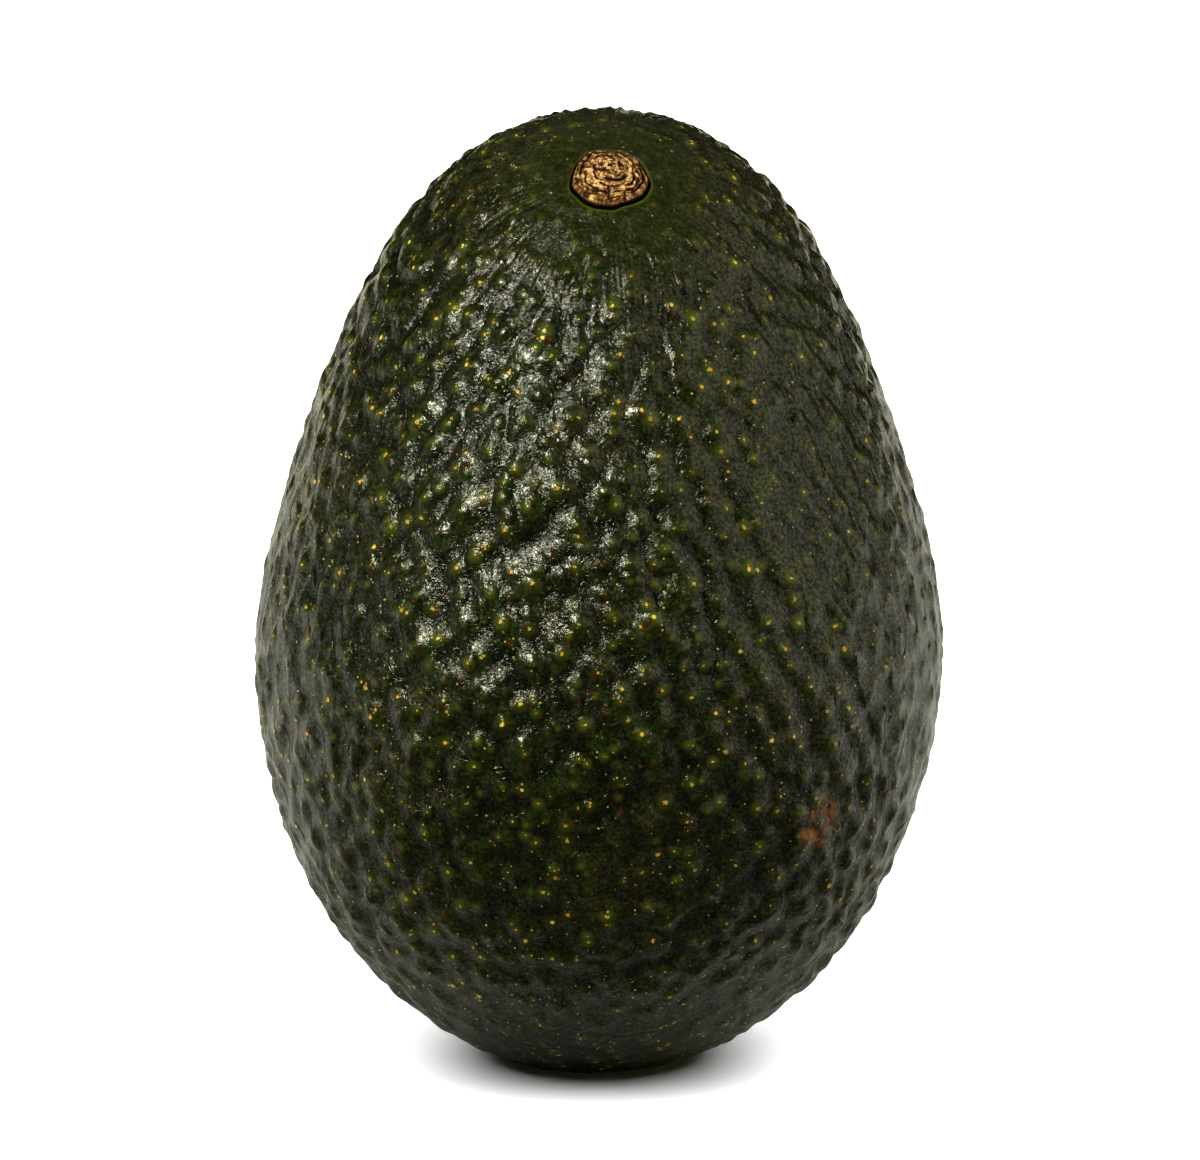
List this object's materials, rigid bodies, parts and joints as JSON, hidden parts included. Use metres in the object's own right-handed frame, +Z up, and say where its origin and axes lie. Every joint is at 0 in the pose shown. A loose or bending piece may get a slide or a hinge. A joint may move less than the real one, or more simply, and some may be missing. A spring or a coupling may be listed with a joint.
{
  "type": "avocado",
  "caption": "Whole unpeeled avocado with a dark green pebbled skin and a woody stem button, standing upright on a small flat spot at its blossom end.",
  "frame": {"origin": "centre of the flat spot at the blossom end, which the fruit stands on", "axes": "+Z up towards the crown, -Y towards the side that the stem button faces, +X to the right of someone who looks at that side"},
  "size_m": [0.0702, 0.0706, 0.0975],
  "materials": {
    "skin": "satin, pebbled, waxy skin",
    "stem_wood": "dry, cracked, unfinished wood"
  },
  "bodies": {
    "root": {"fruit": "skin", "stem_button": "stem_wood"}
  },
  "joints": []
}
